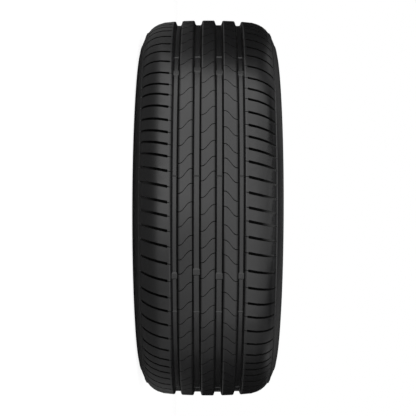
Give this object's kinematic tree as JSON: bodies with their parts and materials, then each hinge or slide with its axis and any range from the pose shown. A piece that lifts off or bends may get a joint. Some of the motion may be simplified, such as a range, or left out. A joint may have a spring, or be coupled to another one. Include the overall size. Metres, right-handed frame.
{
  "type": "car tyre",
  "caption": "Low-profile radial road tyre with straight grooves, fine sipes across its ribs, slotted shoulders and open bead seats for a wheel rim",
  "frame": {"origin": "the middle of the tyre: on its axle line, halfway between the two sidewalls", "axes": "+Z is the axle line, so the tyre lies on its sidewall as it is stored, with the sidewall that the picture shows on the right on top; X and Y lie across the tyre, and -Y is the side that faces the camera in the picture"},
  "size_m": [0.6336, 0.6336, 0.226],
  "materials": {
    "tyre_rubber": "matt black moulded rubber, slightly satin on the tread"
  },
  "bodies": {
    "root": {"tyre": "tyre_rubber"}
  },
  "joints": []
}
